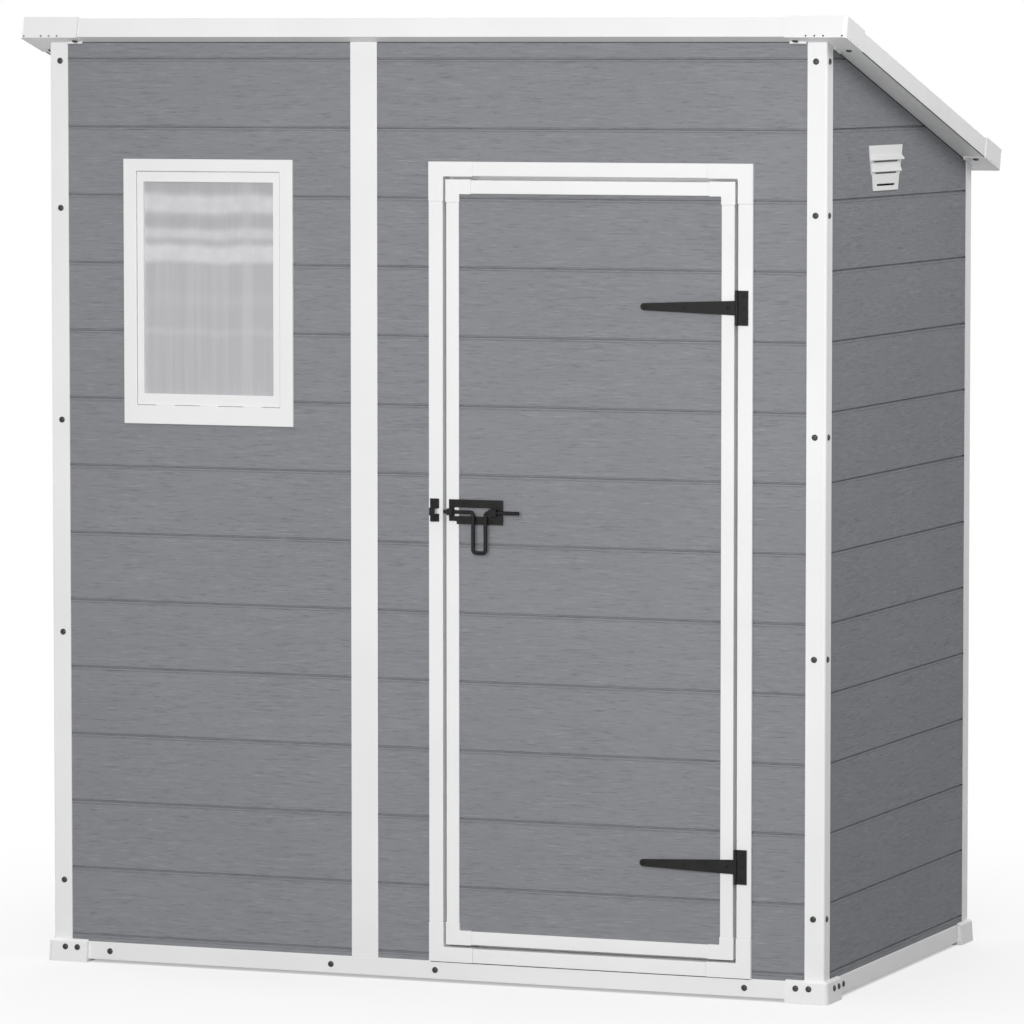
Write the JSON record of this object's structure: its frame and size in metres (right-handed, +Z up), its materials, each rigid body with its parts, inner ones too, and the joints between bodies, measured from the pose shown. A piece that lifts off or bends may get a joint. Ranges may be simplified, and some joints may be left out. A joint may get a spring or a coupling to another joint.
{
  "type": "resin garden shed",
  "caption": "Lean-to resin garden shed with grey lap-board panels, white trims, a framed hinged door with strap hinges and a sliding bolt, a fixed window and side vents.",
  "frame": {"origin": "on the ground under the middle of the roof outline", "axes": "+X to the right seen from the front, +Y from the front to the rear, +Z up"},
  "size_m": [1.831, 1.0816, 2.004],
  "materials": {
    "wall_resin": "grey resin moulded with a fine wood grain",
    "white_resin": "white resin trim, satin",
    "roof_resin": "grey ribbed resin board",
    "floor_resin": "dark grey resin deck",
    "window_pane": "frosted clear sheet",
    "black_metal": "black painted steel"
  },
  "bodies": {
    "shed": {"base_rail_front": "white_resin", "base_rail_rear": "white_resin", "base_rail_left": "white_resin", "base_rail_right": "white_resin", "corner_feet": "white_resin", "floor_panel": "floor_resin", "corner_post_front_left": "white_resin", "corner_post_front_right": "white_resin", "corner_post_rear_left": "white_resin", "corner_post_rear_right": "white_resin", "joiner_strip_front": "white_resin", "joiner_strip_rear": "white_resin", "front_wall_window_panel": "wall_resin", "front_wall_left_of_door": "wall_resin", "front_wall_right_of_door": "wall_resin", "front_wall_over_door": "wall_resin", "side_wall_left": "wall_resin", "side_wall_right": "wall_resin", "rear_wall_left": "wall_resin", "rear_wall_right": "wall_resin", "roof_panel_left": "roof_resin", "roof_panel_right": "roof_resin", "roof_joiner": "white_resin", "roof_trim_front": "white_resin", "roof_trim_rear": "white_resin", "roof_trim_left": "white_resin", "roof_trim_right": "white_resin", "roof_corner_caps": "white_resin", "window_frame": "white_resin", "window_sash": "white_resin", "window_pane": "window_pane", "wall_vents": "white_resin", "door_frame_jambs": "white_resin", "door_frame_head": "white_resin", "door_frame_sill": "white_resin", "door_frame_corners": "white_resin", "hinge_leaves": "black_metal", "latch_keeper": "black_metal"},
    "door": {"door_panel": "wall_resin", "door_stiles": "white_resin", "door_rails": "white_resin", "door_corners": "white_resin", "hinge_straps": "black_metal", "latch_plate": "black_metal"},
    "bolt": {"latch_bolt": "black_metal"}
  },
  "joints": [
    {"name": "door_hinge", "type": "hinge", "parent": "shed", "child": "door", "pos_m": [0.675, -0.51056, 0.85], "axis": [0, 0, 1], "range_deg": [0, 165]},
    {"name": "bolt_slide", "type": "slide", "parent": "door", "child": "bolt", "axis": [-1, 0, 0], "range_m": [0, 0.034]}
  ]
}
